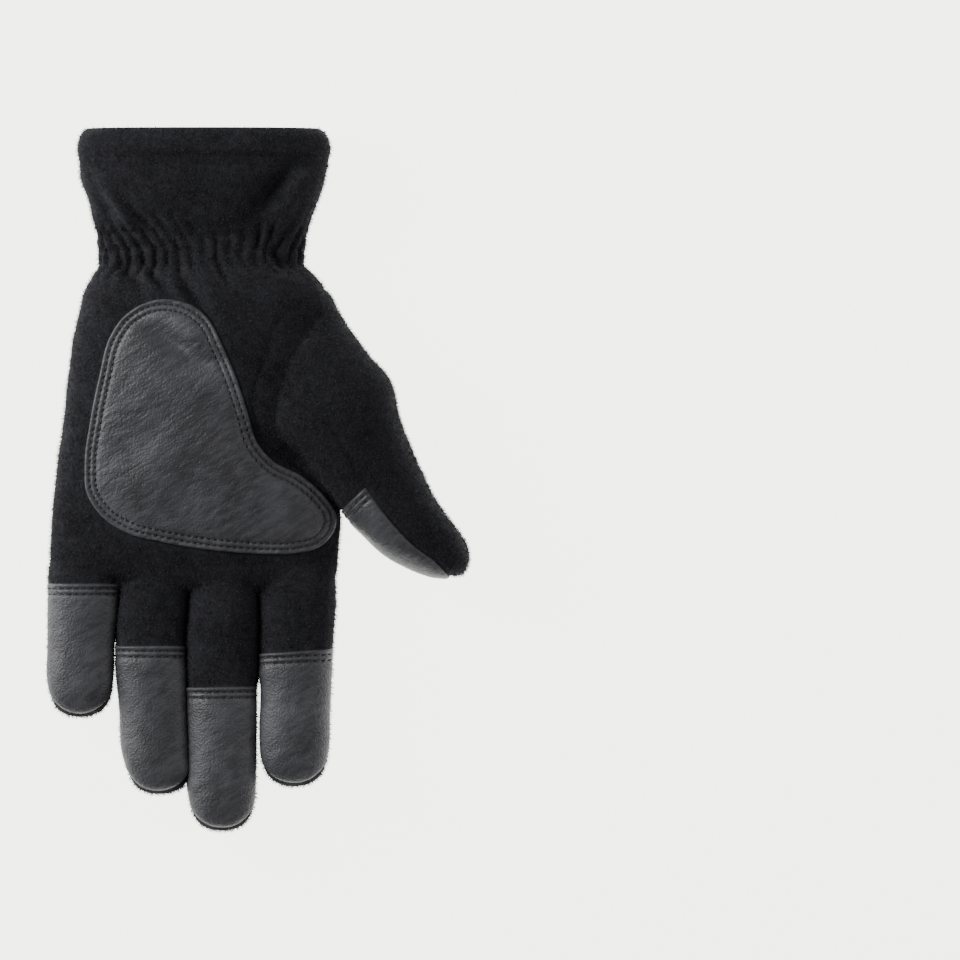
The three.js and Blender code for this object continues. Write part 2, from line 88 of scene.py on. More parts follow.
card_reach = 3
card_drop = 0.0002
card_glow = 4.5
card_mesh = bpy.data.meshes.new("card")
card_bm = bmesh.new()
bmesh.ops.create_grid(card_bm, x_segments=1, y_segments=1, size=card_reach)
card_bm.to_mesh(card_mesh)
card_bm.free()
card = bpy.data.objects.new("card", card_mesh)
card.location.z = -card_drop
bpy.context.scene.collection.objects.link(card)
opal, tree = new_material("lit_opal_acrylic")
diffuse = add_node(tree, "ShaderNodeBsdfDiffuse", {"Color": paint("#9a9a97")}).outputs[0]
glow = add_node(tree, "ShaderNodeEmission", {"Color": paint("#fffffa"), "Strength": card_glow}).outputs[0]
lit = add_node(tree, "ShaderNodeAddShader", {0: diffuse, 1: glow}).outputs[0]
add_node(tree, "ShaderNodeOutputMaterial", {"Surface": lit})
card_mesh.materials.append(opal)

soft_box_side = 0.6
for name, place, watts in [
    ("soft_box_left", (-0.85, 0.38, 0.55), 21),
    ("soft_box_right", (0.8, 0.1, 0.45), 3.5),
]:
    light_data = bpy.data.lights.new(name, "AREA")
    light_data.size = soft_box_side
    light_data.energy = watts
    light = bpy.data.objects.new(name, light_data)
    light.location = place
    light.rotation_euler = Vector(place).to_track_quat("Z", "Y").to_euler()
    bpy.context.scene.collection.objects.link(light)

room = bpy.data.worlds.new("white_room")
room.use_nodes = True
room_light = room.node_tree.nodes["Background"].inputs
room_light["Color"].default_value = paint("#fbfbf8")
room_light["Strength"].default_value = 0.2
bpy.context.scene.world = room


# The glove's skin, as one closed form that the panels are then cut from, in millimetres. The real one is
# sewn from polyester fleece, brushed on its outer side, and keeps the shape of a slack, nearly flat hand.
# A form's rows are cross-sections, each by the two ends of its line in plan, its foot and its crown.
def flow(rows, step, closed=False):
    """Rows about a step apart on the smooth curve through the given rows."""
    rows = np.array([rows[-1], *rows, *rows[:2]] if closed else rows, float)
    at = np.r_[0, np.cumsum(np.linalg.norm(np.diff(rows, axis=0), axis=1))]
    slopes = np.gradient(rows, at, axis=0)
    first, last = (at[1], at[-2]) if closed else (0, at[-1])
    wanted = np.linspace(first, last, int((last - first) / step) + 2, endpoint=not closed)
    before = np.clip(np.searchsorted(at, wanted, side="right") - 1, 0, len(at) - 2)
    gap = (at[before + 1] - at[before])[:, None]
    t = (wanted - at[before])[:, None] / gap
    return (
        rows[before] * (1 + 2 * t) * (1 - t) ** 2
        + rows[before + 1] * t**2 * (3 - 2 * t)
        + slopes[before] * gap * t * (1 - t) ** 2
        - slopes[before + 1] * gap * t**2 * (1 - t)
    )


def loft(form, rows, heading, roundness, step=1.6, sides=96):
    """Adds a closed form through rows of inner x, y, outer x, y, foot, crown and push. It stands in from
    the rows by form_inset, and push says how far that moves a row back against the heading."""
    turns = np.linspace(0, 2 * math.pi, sides, endpoint=False)
    across, rise = (np.sign(v) * abs(v) ** (2 / roundness) for v in (np.cos(turns), np.sin(turns)))
    side_of = form.verts.layers.int.get("side") or form.verts.layers.int.new("side")
    ring = bmesh.ops.create_circle(form, cap_ends=True, segments=sides, radius=1)["verts"]
    for side, vert in enumerate(ring):
        vert[side_of] = side
    edges = list(ring[0].link_faces[0].edges)
    for number, row in enumerate(flow(rows, step)):
        if number:
            made = bmesh.ops.extrude_edge_only(form, edges=edges)["geom"]
            ring = [e for e in made if isinstance(e, bmesh.types.BMVert)]
            edges = [e for e in made if isinstance(e, bmesh.types.BMEdge)]
        inner, outer = row[0:2], row[2:4]
        half = (outer - inner) / 2
        length = np.linalg.norm(half)
        middle = (inner + outer) / 2 - np.array(heading) * row[6] * form_inset
        half_width = max(length - form_inset, least_half)
        half_height = max((row[5] - row[4]) / 2 - form_inset, least_half)
        for vert in ring:
            side = vert[side_of]
            x, y = middle + half / max(length, 1e-6) * across[side] * half_width
            z = (row[4] + row[5]) / 2 + rise[side] * half_height
            vert.co = (x, y, max(z, form_inset))
    bmesh.ops.contextual_create(form, geom=edges)


def between(low, high, share):
    """The number at a share of the way from low to high."""
    return low + (high - low) * share


flattening = 1.5
form_inset = 1.0
least_half = 0.3
wrist_y = 70.3
crotch_y = -55.5
mouth_y = 115.1
hem_depth = 10.4

# The hand from past the mouth to the crotches: y, left, right, crown, push
hand_rows = [
    (124.0, -36.4, 44.8, 24.4, 0),
    (118.5, -36.8, 45.2, 24.4, 0),
    (115.1, -37.7, 46.1, 24.6, 0),
    (112.9, -40.6, 49.4, 25.9, 0),
    (109.6, -41.8, 51.0, 26.8, 0),
    (104.7, -41.9, 51.0, 27.0, 0),
    (103.7, -41.7, 50.7, 26.6, 0),
    (96.3, -40.8, 49.5, 27.0, 0),
    (88.7, -38.1, 47.0, 26.2, 0),
    (81.9, -36.7, 44.5, 24.8, 0),
    (76.6, -35.6, 43.3, 23.0, 0),
    (70.3, -35.3, 42.5, 22.3, 0),
    (64.0, -35.3, 42.5, 23.0, 0),
    (60.0, -37.2, 46.1, 25.5, 0),
    (55.5, -39.2, 49.3, 27.3, 0),
    (43.3, -42.3, 50.8, 28.7, 0),
    (29.8, -44.7, 51.7, 29.0, 0),
    (10.7, -46.8, 53.8, 28.4, 0),
    (-7.1, -49.4, 54.8, 27.0, 0),
    (-24.9, -51.2, 55.3, 24.4, 0),
    (-36.6, -52.2, 54.8, 21.4, 0),
    (-45.4, -51.8, 54.2, 19.2, 0),
    (-51.1, -33.1, 52.4, 18.2, 0.5),
    (-55.5, -28.9, 47.0, 16.0, 1),
]

# The fingers: width, length, the root's middle x and y, the tip's width, then the swell, bow and lean of
# the sides as shares of the width, then the height at the root, the height at the tip and the tip's lift
finger_table = {
    "little": (26.7, 52.9, -40.1, -50.0, 24.03, -0.02, -0.01, -0.045, 17.02, 14.52, 3.0),
    "ring": (24.8, 75.9, -13.65, -55.5, 24.4, 0.035, -0.1, 0.07, 18.0, 15.5, 3.5),
    "middle": (24.8, 89.4, 11.85, -55.5, 24.4, 0.06, -0.01, -0.02, 18.5, 16.0, 4.0),
    "index": (28.5, 72.9, 39.2, -55.5, 25.22, -0.02, 0.0, -0.045, 18.5, 16.0, 3.5),
}
embedded_y = -40.5
embedded_share = 0.97
embedded_lift = 3
tip_start = 0.54

# Along a finger: share of its run, then shares of its change of size, swell, bow, lean and lift
finger_run = [
    (0, 0, 0, 0, 0, 0),
    (0.3, 0.25, 1, 0.9, 0.2, 0),
    (0.65, 0.65, 0.4, 0.8, 0.6, 0.25),
    (1, 1, 0, 0.3, 0.9, 0.75),
]

# Round a tip: distance from its end, width, height and lift, as shares of the tip's own sizes and lift
finger_tip = [
    (0.33, 0.955, 0.94, 0.87),
    (0.22, 0.875, 0.86, 0.93),
    (0.13, 0.77, 0.74, 0.97),
    (0.05, 0.53, 0.5, 1),
    (0.004, 0.12, 0.12, 1),
]


def finger_rows(name):
    """A finger's sections from inside the palm to its tip: middle x, y, width, foot, crown and push."""
    width, length, root_x, root_y, tip_width, *shares, height, tip_height, lift = finger_table[name]
    swell, bow, lean = shares
    run = length - tip_start * tip_width
    tip_y = root_y - length
    start_x, start_width = root_x * embedded_share, width * embedded_share
    rows = [(start_x, embedded_y, start_width, embedded_lift, height - embedded_lift, 0)]
    for along, change, swells, bows, leans, lifts in finger_run:
        x = root_x + (bows * bow + leans * lean) * width
        w = swells * swell * width + between(width, tip_width, change)
        z = lifts * lift
        rows.append((x, root_y - along * run, w, z, z + between(height, tip_height, change), 0))
    for back, w, h, lifts in finger_tip:
        foot = lifts * lift + tip_height * (1 - h) / 2
        x, y = root_x + lean * width, tip_y + back * tip_width
        rows.append((x, y, w * tip_width, foot, foot + h * tip_height, 1))
    return np.array(rows)


# The thumb: each section's inner x, y, outer x, y, foot, crown and push
thumb_rows = [
    (34.6, 43.7, 50.5, 54.7, 0, 19.8, 0),
    (29.8, 28.9, 56.8, 42.9, 0, 25.5, 0),
    (26.1, 13.0, 65.3, 31.1, 0, 29.6, 0),
    (27.6, 0.0, 73.1, 22.1, 0, 31.7, 0),
    (38.7, -9.3, 76.0, 10.4, 0, 30.9, 0),
    (48.3, -17.7, 79.0, 1.5, 0, 29.1, 0),
]
thumb_root = np.array((70.13, -18.49))
thumb_turn = math.radians(-46)
thumb_heading = np.array((math.cos(thumb_turn), math.sin(thumb_turn)))
thumb_sideways = np.array((-thumb_heading[1], thumb_heading[0]))
thumb_length = 43.7
thumb_width = 32.5
thumb_height = 26


def thumb_spot(along, across):
    """A place on the free thumb in plan, by shares of its length and width."""
    return thumb_root + along * thumb_length * thumb_heading + across * thumb_width * thumb_sideways


# The free thumb's sections in the same order, its ends, foot and crown as shares of the thumb's sizes
for inner, outer, foot, crown, push in [
    ((-0.09, -0.485), (0.1, 0.478), 0, 1.06, 0),
    ((0.15, -0.48), (0.35, 0.368), 0, 1.02, 0),
    ((0.4, -0.457), (0.6, 0.308), 0, 0.97, 0),
    ((0.62, -0.375), (0.78, 0.285), 0.06, 0.9, 0.3),
    ((0.79, -0.27), (0.9, 0.225), 0.16, 0.83, 0.7),
    ((0.91, -0.15), (0.97, 0.14), 0.26, 0.75, 1),
    ((0.995, -0.03), (1.0, 0.05), 0.44, 0.56, 1),
]:
    height_and_push = foot * thumb_height, crown * thumb_height, push
    thumb_rows.append((*thumb_spot(*inner), *thumb_spot(*outer), *height_and_push))

form = bmesh.new()
away = (0, -1)
hand_roundness = 2.5
finger_roundness = 2.4
rows = [(left, y, right, y, -flattening, crown, push) for y, left, right, crown, push in hand_rows]
loft(form, rows, away, hand_roundness)
for name in finger_table:
    rows = [(x - w / 2, y, x + w / 2, y, f - flattening, c, p) for x, y, w, f, c, p in finger_rows(name)]
    loft(form, rows, away, finger_roundness, step=1.2, sides=64)
rows = [(*row[:4], row[4] - flattening, *row[5:]) for row in thumb_rows]
loft(form, rows, thumb_heading, finger_roundness, sides=72)
bmesh.ops.recalc_face_normals(form, faces=form.faces)


def finish_mesh(bm, name, *modifiers):
    """A mesh from a bmesh that the modifiers, each a type with its settings, have been applied to."""
    mesh = bpy.data.meshes.new(name)
    bm.to_mesh(mesh)
    bm.free()
    holder = bpy.data.objects.new(name, mesh)
    holder.vertex_groups.new(name="share")
    bpy.context.scene.collection.objects.link(holder)
    for number, (kind, settings) in enumerate(modifiers):
        modifier = holder.modifiers.new(str(number), kind)
        for key, value in settings.items():
            setattr(modifier, key, value)
    made = bpy.data.meshes.new_from_object(holder.evaluated_get(bpy.context.evaluated_depsgraph_get()))
    bpy.data.objects.remove(holder)
    bpy.data.meshes.remove(mesh)
    made.name = name
    return made


cloth_cell = 0.9
smoothing_loss = 0.12
skin = finish_mesh(
    form,
    "skin",
    ("REMESH", {"mode": "VOXEL", "voxel_size": cloth_cell}),
    ("SMOOTH", {"factor": 0.5, "iterations": 8}),
    ("DISPLACE", {"strength": form_inset + smoothing_loss, "mid_level": 0}),
)


# The skin takes the folds, hollows and gathers of worn cloth. The slack cuff and palm fold at a slant. A
# narrow elastic, sewn inside the wrist with three rows of zigzag, draws the fleece into short puffs.
def numbers(elements, what, width=3):
    """One kind of number for all of a mesh's elements."""
    values = np.empty(len(elements) * width)
    elements.foreach_get(what, values)
    return values.reshape(-1, width)


# Folds on the palm's side: x, y, half the length and breadth, turn in degrees, depth
folds = [
    (-32.0, 85.6, 8.7, 3.0, -65, 2.0),
    (-27.4, 87.0, 13.0, 2.2, -55, -1.2),
    (-21.6, 84.6, 7.0, 1.9, -50, 2.0),
    (-16.8, 79.5, 4.5, 1.5, -55, 1.6),
    (-12.0, 80.0, 5.0, 1.5, -52, 1.4),
    (31.3, 92.5, 11.5, 4.5, 50, 4.6),
    (37.2, 88.0, 8.0, 2.2, 58, -0.9),
    (-22.0, 61.0, 8.0, 2.4, -50, 3.0),
    (-11.7, 58.8, 7.0, 2.0, -51, 2.6),
    (0.8, 54.0, 12.0, 2.6, -56, 3.2),
    (-6.0, 63.5, 6.0, 1.5, -52, -0.6),
    (33.7, 66.2, 6.5, 1.8, -35, 2.2),
    (12.4, 61.0, 5.0, 1.7, -63, 1.4),
    (25.0, 73.5, 6.5, 1.2, 86, 1.5),
    (30.0, 73.5, 6.5, 1.1, -86, 1.0),
    (-6.0, 35.5, 11.0, 3.2, -32, 2.8),
    (4.0, 27.5, 11.0, 3.2, 10, 1.4),
    (1.5, 39.5, 8.0, 3.6, -36, -1.0),
    (-19.0, 0.4, 17.0, 6.0, 30, 0.7),
    (-14.0, -12.0, 18.0, 5.0, 38, -0.35),
    (34.0, -6.0, 19.0, 6.0, -38, 4.2),
    (41.0, -9.5, 10.0, 2.4, -51, 1.8),
]
place = numbers(skin.vertices, "co")
facing = numbers(skin.vertices, "normal")
rise = np.zeros(len(place))
for x, y, along, breadth, degrees, depth in folds:
    turn = math.radians(degrees)
    dx = place[:, 0] - x
    dy = place[:, 1] - y
    lengthwise = (dx * math.cos(turn) + dy * math.sin(turn)) / along
    sideways = (dy * math.cos(turn) - dx * math.sin(turn)) / breadth
    rise -= depth * np.exp(-(lengthwise**2) - sideways**2) * np.clip(facing[:, 2], 0, 1)

# The puffs lie side by side round the wrist, so they go by the way round its section.
puff_pitch = 4.4
wrist_half = (38.9, 12.2)
wrist_middle = (3.6, 10.4)
turns = np.linspace(-math.pi, math.pi, 721)
section = np.c_[np.cos(turns) * wrist_half[0], np.sin(turns) * wrist_half[1]]
way_round = np.r_[0, np.cumsum(np.linalg.norm(np.diff(section, axis=0), axis=1))]
off_middle = place[:, [0, 2]] - wrist_middle
turn = np.arctan2(off_middle[:, 1] / wrist_half[1], off_middle[:, 0] / wrist_half[0])
along = np.interp(turn, turns, way_round) / way_round[-1]
puffs = round(way_round[-1] / puff_pitch)
up = place[:, 1] - wrist_y
rng = np.random.default_rng(7)
puff_depth = 1.7
row_depth = 0.6
row_width = 0.9
strength = np.interp(along, np.linspace(0, 1, 4 * puffs), rng.uniform(0.5, 1.2, 4 * puffs))
strength *= np.interp(place[:, 0], (-40, -12, 5, 18, 26, 44), (1.3, 1.15, 0.5, 0.45, 0.9, 1.1))
lean = np.interp(place[:, 0], (-40, 0, 18, 40), (0.42, 0.35, 0.1, -0.2)) * np.clip(facing[:, 2], 0, 1)
wander = np.interp(along, np.linspace(0, 1, puffs), rng.uniform(-0.25, 0.25, puffs))
wander += 0.12 * np.sin(up / 2.3 + 9 * along)
crest = abs(np.sin(math.pi * (puffs * along + wander - lean * up / puff_pitch)))
reach = np.exp(-((up / 9.0) ** 4)) + 0.25 * np.exp(-((up / 16) ** 2))
rise -= puff_depth * strength * reach * (1 - crest**0.7)
for row in (-5.6, 0, 5.6):
    bowed = row + 0.8 * np.sin(24 * along + row)
    on_row = np.exp(-(((up - bowed) / row_width) ** 2))
    rise -= row_depth * strength**2 * on_row * np.interp(crest, (0, 0.5), (0.3, 1))

# The hem is turned in and sewn down, so it is a little fuller above its stitch line.
hem_y = mouth_y - hem_depth
hem_fullness = 0.3
hem_groove = 0.5
rise += hem_fullness * np.clip((place[:, 1] - hem_y) / 3, 0, 1)
rise -= hem_groove * np.exp(-(((place[:, 1] - hem_y) / 0.9) ** 2)) * abs(facing[:, 2])

# The fingers press together from their roots on: each pair, and where the gap between the two opens.
pressed = [("little", "ring", -76.0), ("ring", "middle", -131.0), ("middle", "index", -91.0)]
overlap = 0.25
for left, right, open_y in pressed:
    left_rows, right_rows = finger_rows(left)[::-1], finger_rows(right)[::-1]
    left_side = np.interp(place[:, 1], left_rows[:, 1], left_rows[:, 0] + left_rows[:, 2] / 2)
    right_side = np.interp(place[:, 1], right_rows[:, 1], right_rows[:, 0] - right_rows[:, 2] / 2)
    need = np.clip((right_side - left_side) / 2 + overlap, 0, 1.5)
    need *= np.clip((place[:, 1] - open_y) / 5, 0, 1) * np.clip((crotch_y + 3 - place[:, 1]) / 3, 0, 1)
    middle = (left_side + right_side) / 2
    towards = facing[:, 0] * np.sign(middle - place[:, 0])
    near = abs(place[:, 0] - middle) < 6
    rise += near * need * np.clip(towards, 0, 1) ** 2

# Brushed cloth is never quite even: broad swells and small lumps, by their depth and size.
broad_depth, broad_size = 0.28, 11
small_depth, small_size = 0.12, 3.5
for number, at in enumerate(place):
    rise[number] += broad_depth * noise.noise(Vector(at) / broad_size)
    rise[number] += small_depth * noise.noise(Vector(at) / small_size)
place += facing * rise[:, None]
floor_clearance = 0.05
place[:, 2] = np.maximum(place[:, 2], floor_clearance)
skin.vertices.foreach_set("co", place.ravel())


# The four panels. Two large ones are cut to the shape of the palm and of the back, and meet in a seam
# round the hand and the fingers. The thumb's two are set in between them. All are sewn inside out from
# fleece 2 mm thick, then turned, so their edges roll inwards along each seam.
def inside(points, outline):
    """Whether each point in plan is inside an outline."""
    x, y = points[:, 0], points[:, 1]
    result = np.zeros(len(points), bool)
    for (x0, y0), (x1, y1) in zip(outline, np.roll(outline, -1, axis=0)):
        if y0 != y1:
            result ^= ((y0 > y) != (y1 > y)) & (x < (x1 - x0) * (y - y0) / (y1 - y0) + x0)
    return result


def side_seam(points):
    """The height of the side seam near each point."""
    ys = [-60, -39, 1.1, 38.9, 70.3, 104.7, 130]
    height = np.interp(points[:, 1], ys, [8.25, 8.25, 13.75, 13.75, 10.75, 12.75, 12.75])
    nearest = np.full(len(points), np.inf)
    for name, (_, length, _, root_y, *_, tip_height, lift) in finger_table.items():
        rows = finger_rows(name)[::-1]
        off = abs(points[:, 0] - np.interp(points[:, 1], rows[:, 1], rows[:, 0]))
        own = (points[:, 1] < crotch_y) & (off < nearest)
        nearest = np.minimum(nearest, off)
        ends = (root_y - length, root_y - 0.25 * length)
        height[own] = np.interp(points[own, 1], ends, (lift + (tip_height - flattening) / 2, 8.25))
    return height


far = 300
seam_step = 2
seam_on_palm = [
    (50.2, 55.4), (40.1, 49.9), (32.0, 42.6), (27.6, 29.6), (23.1, 14.8), (27.6, -0.4), (41.3, -11.4),
    (52.7, -21.1), (56.1, -26.5),
]
seam_on_back = [
    (50.2, 55.4), (45.4, 45.3), (44.9, 30.2), (46, 10.1), (48.1, -10.1), (53.5, -20.1), (56.1, -26.5),
]
seam_on_palm, seam_on_back = flow(seam_on_palm, seam_step), flow(seam_on_back, seam_step)
thumb_corner = [(56.1, -far), (far, -far), (far, 55.4)]
thumb_line = [(10.7, 37.7), (26.3, 24.2), (40.1, 14.1), (52, 4.4), (59.4, -7.4)]
thumb_shares = [(-0.04, -0.15), (0.54, -0.17), (0.86, -0.12), (1, -0.05), (1.5, 0.1)]
thumb_line += [thumb_spot(*at) for at in thumb_shares]
middles = numbers(skin.polygons, "center")
above = middles[:, 2] > side_seam(middles)
in_thumb = inside(middles, [*seam_on_back, *thumb_corner])
in_thumb |= above & inside(middles, [*seam_on_palm, *thumb_corner])
in_pad = inside(middles, [*thumb_line, (-far, -far)])
panel_names = ["palm_panel", "back_panel", "thumb_pad_panel", "thumb_back_panel"]
panel_of_face = np.select([in_thumb & in_pad, in_thumb, above], [2, 3, 0], 1)

cloth = bmesh.new()
cloth.from_mesh(skin)
panel_layer = cloth.faces.layers.int.new("panel")
for face, panel in zip(cloth.faces, panel_of_face):
    face[panel_layer] = int(panel)

# At the fingers' roots the fleece bridges from one finger to the next.
bridge_rounds = 40
bridged = [v for v in cloth.verts if crotch_y - 8 < v.co.y < crotch_y + 14 and v.normal.z > 0.2]
for _ in range(bridge_rounds):
    bmesh.ops.smooth_vert(cloth, verts=bridged, factor=0.5, use_axis_z=True)

# Each seam is smoothed along its run, then the cloth beside it, and it is drawn in.
inwards = cloth.verts.layers.float_vector.new("inwards")
beside = {}
for edge in cloth.edges:
    if len({face[panel_layer] for face in edge.link_faces}) > 1:
        for vert in edge.verts:
            beside.setdefault(vert, []).append(edge.other_vert(vert))
runs = {vert: others for vert, others in beside.items() if len(others) > 1}
for _ in range(16):
    smooth = {vert: sum((o.co for o in others), Vector()) / len(others) for vert, others in runs.items()}
    for vert, middle in smooth.items():
        vert.co = vert.co.lerp(middle, 0.5)
near_seam = {edge.other_vert(v) for v in beside for edge in v.link_edges} - set(beside)
near_seam |= {edge.other_vert(v) for v in near_seam for edge in v.link_edges} - set(beside)
every_way = {"factor": 0.5, "use_axis_x": True, "use_axis_y": True, "use_axis_z": True}
for _ in range(4):
    bmesh.ops.smooth_vert(cloth, verts=list(near_seam), **every_way)
cloth.normal_update()
seam_tree = KDTree(len(beside))
for number, vert in enumerate(beside):
    seam_tree.insert(vert.co, number)
seam_tree.balance()
for vert in cloth.verts:
    vert[inwards] = -vert.normal
seam_depth = 0.45
seam_reach = 1.3
seam_ways = [seam_tree.find(v.co)[2] / seam_reach for v in cloth.verts]
for vert, way in zip(cloth.verts, seam_ways):
    vert.co -= vert.normal * seam_depth * math.exp(-(way**2))

# The cuff is cut off at its mouth.
everything = [*cloth.verts, *cloth.edges, *cloth.faces]
mouth = {"plane_co": (0, mouth_y, 0), "plane_no": (0, 1, 0)}
bmesh.ops.bisect_plane(cloth, geom=everything, dist=0.01, clear_outer=True, **mouth)
skin_tree = BVHTree.FromBMesh(cloth)


def add_piece(name, mesh, material, slot, *nodes):
    """A piece in the scene from a mesh in millimetres, in place of CAD nodes if there are any."""
    mesh.transform(Matrix.Scale(0.001, 4))
    mesh.polygons.foreach_set("use_smooth", [True] * len(mesh.polygons))
    mesh.materials.clear()
    mesh.materials.append(material)
    piece = bpy.data.objects.new(name, mesh)
    bpy.context.scene.collection.objects.link(piece)
    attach(piece, "root")
    if nodes:
        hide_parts(*nodes)
    return piece


# Brushed polyester fleece, dyed in the mass: nearly black, dull, with a soft sheen at grazing light, and
# matted into small tufts about 1.5 mm apart that run along the hand.
fleece, tree = new_material("black_brushed_fleece")
tuft_size = 1.5
hair_size = 0.45
at = add_node(tree, "ShaderNodeTexCoord").outputs["Object"]
drawn_out = add_node(tree, "ShaderNodeMapping", {"Vector": at, "Scale": (1, 0.75, 1)}).outputs[0]
tufts = {"Vector": drawn_out, "Scale": 1000 / tuft_size / 2, "Detail": 3.0}
tufts = add_node(tree, "ShaderNodeTexNoise", tufts).outputs["Fac"]
hairs = {"Vector": drawn_out, "Scale": 1000 / hair_size / 2, "Detail": 2.0}
hairs = add_node(tree, "ShaderNodeTexNoise", hairs).outputs["Fac"]
patches = add_node(tree, "ShaderNodeTexNoise", {"Vector": at, "Scale": 60.0, "Detail": 2.0})
height = add_node(tree, "ShaderNodeMath", {0: tufts, 1: hairs}, operation="ADD").outputs[0]
tone = {0: height, 1: patches.outputs["Fac"]}
tone = add_node(tree, "ShaderNodeMath", tone, operation="ADD")
tone = add_node(tree, "ShaderNodeMapRange", {"Value": tone.outputs[0], "From Min": 1.1, "From Max": 1.95})
colours = {0: tone.outputs[0], 6: paint("#131316"), 7: paint("#29292e")}
colour = add_node(tree, "ShaderNodeMix", colours, data_type="RGBA")
relief = add_node(tree, "ShaderNodeBump", {"Height": height, "Strength": 0.8, "Distance": 0.0005})
surface = {"Base Color": colour.outputs[2], "Normal": relief.outputs[0], "Roughness": 0.92}
surface |= {"Sheen Weight": 0.1, "Sheen Roughness": 0.5, "Sheen Tint": paint("#8c8c96")}
surface["Specular IOR Level"] = 0.15
shader = add_node(tree, "ShaderNodeBsdfPrincipled", surface)
add_node(tree, "ShaderNodeOutputMaterial", {"Surface": shader.outputs[0]})

single_wall = 2.0
hem_wall = 3.2
hem_turn = 1.2
seam_roll = 0.5
panel_skins = {}
for panel, name in enumerate(panel_names):
    piece = cloth.copy()
    own_panel = piece.faces.layers.int["panel"]
    own_inwards = piece.verts.layers.float_vector["inwards"]
    bmesh.ops.delete(piece, geom=[f for f in piece.faces if f[own_panel] != panel], context="FACES")
    panel_skins[name] = piece.copy()
    outer_faces = list(piece.faces)
    bmesh.ops.extrude_face_region(piece, geom=outer_faces, use_keep_orig=True)
    bmesh.ops.reverse_faces(piece, faces=outer_faces)
    for vert in {v for f in outer_faces for v in f.verts}:
        hem_share = min(max((vert.co.y - hem_y) / hem_turn, 0), 1)
        vert.co += vert[own_inwards] * between(single_wall, hem_wall, hem_share)
    roll = {"width": seam_roll, "segments": 2, "limit_method": "ANGLE", "angle_limit": math.radians(60)}
    piece_name = name.replace("panel", "fleece")
    mesh = finish_mesh(piece, piece_name, ("BEVEL", roll))
    add_piece(piece_name, mesh, fleece, "fleece", name)


# The leather patches. Thin goatskin, about 1 mm, is cut to shape, its edge is turned under, and two rows
# of stitches hold it to the fleece. A patch is worked as a flat sheet with rows of points along its edge,
# and then laid on the cloth.
edge_step = 0.35
edge_rows = 14
grid_clearance = 0.7
first_row = 6
second_row = 12
stitch_points = 5
stitch_pitch = 2.45


def clearance(points, outline):
    """How far each point in plan is from an outline."""
    nearest = np.full(len(points), np.inf)
    for start, end in zip(outline, np.roll(outline, -1, axis=0)):
        run = end - start
        share = np.clip((points - start) @ run / max(run @ run, 1e-9), 0, 1)
        nearest = np.minimum(nearest, np.linalg.norm(points - start - share[:, None] * run, axis=1))
    return nearest


def cut_leather(outline, cell):
    """A flat sheet cut to an outline, and its rows of points, each edge_step inside the last."""
    closed = np.array([*outline, outline[0]], float)
    at = np.r_[0, np.cumsum(np.linalg.norm(np.diff(closed, axis=0), axis=1))]
    count = round(at[-1] / stitch_pitch) * stitch_points
    wanted = np.linspace(0, at[-1], count, endpoint=False)
    sheet = bmesh.new()
    bmesh.ops.create_circle(sheet, cap_ends=True, segments=count, radius=1)
    sheet.faces.ensure_lookup_table()
    face = sheet.faces[0]
    for vert, distance in zip(list(face.verts), wanted):
        vert.co = (np.interp(distance, at, closed[:, 0]), np.interp(distance, at, closed[:, 1]), 0)
    face.normal_update()
    rows = [list(face.verts)]
    for _ in range(edge_rows):
        bmesh.ops.inset_individual(sheet, faces=[face], thickness=edge_step, use_even_offset=True)
        rows.append(list(face.verts))
    inner = np.array([v.co.xy for v in rows[-1]])
    bmesh.ops.delete(sheet, geom=[face], context="FACES_ONLY")
    size = inner.max(axis=0) - inner.min(axis=0)
    middle = inner.min(axis=0) + size / 2
    place = Matrix.Translation((*middle, 0)) @ Matrix.Diagonal((*size, 1, 1))
    columns, lines = (size / cell).astype(int)
    made = bmesh.ops.create_grid(sheet, x_segments=columns, y_segments=lines, size=0.5, matrix=place)
    grid = set(made["verts"])
    spots = np.array([v.co.xy for v in made["verts"]])
    kept = inside(spots, inner) & (clearance(spots, inner) > grid_clearance * cell)
    spare = [v for v, keep in zip(made["verts"], kept) if not keep]
    while spare:
        grid -= set(spare)
        bmesh.ops.delete(sheet, geom=spare, context="VERTS")
        spare = [v for v in grid if not v.link_faces or sum(e.is_boundary for e in v.link_edges) > 2]
    border = [e for e in sheet.edges if e.is_boundary and set(e.verts) <= grid | set(rows[-1])]
    bmesh.ops.triangle_fill(sheet, use_beauty=True, use_dissolve=False, edges=border)
    sheet.normal_update()
    bmesh.ops.reverse_faces(sheet, faces=[f for f in sheet.faces if f.normal.z < 0])
    return sheet, rows


# The height of a sewn edge over the cloth at distances from it: a rolled fold, then two rows of stitches
# that pull the leather down
sewn_edge = [
    (0, -0.2), (0.12, 0.4), (0.35, 0.85), (0.7, 1.12), (1.1, 1.12), (1.6, 0.85), (2.1, 0.55), (2.5, 0.8),
    (3.1, 0.98), (3.7, 0.82), (4.2, 0.55), (4.7, 0.8), (5.4, 1.0), (8, 1.1),
]
plain_edge = [(0, 0), (0.15, 0.35), (0.4, 0.7), (0.9, 0.95), (2, 1)]
hole_depth = 0.9
hole_shares = (1, 0.35, 0, 0, 0.35)


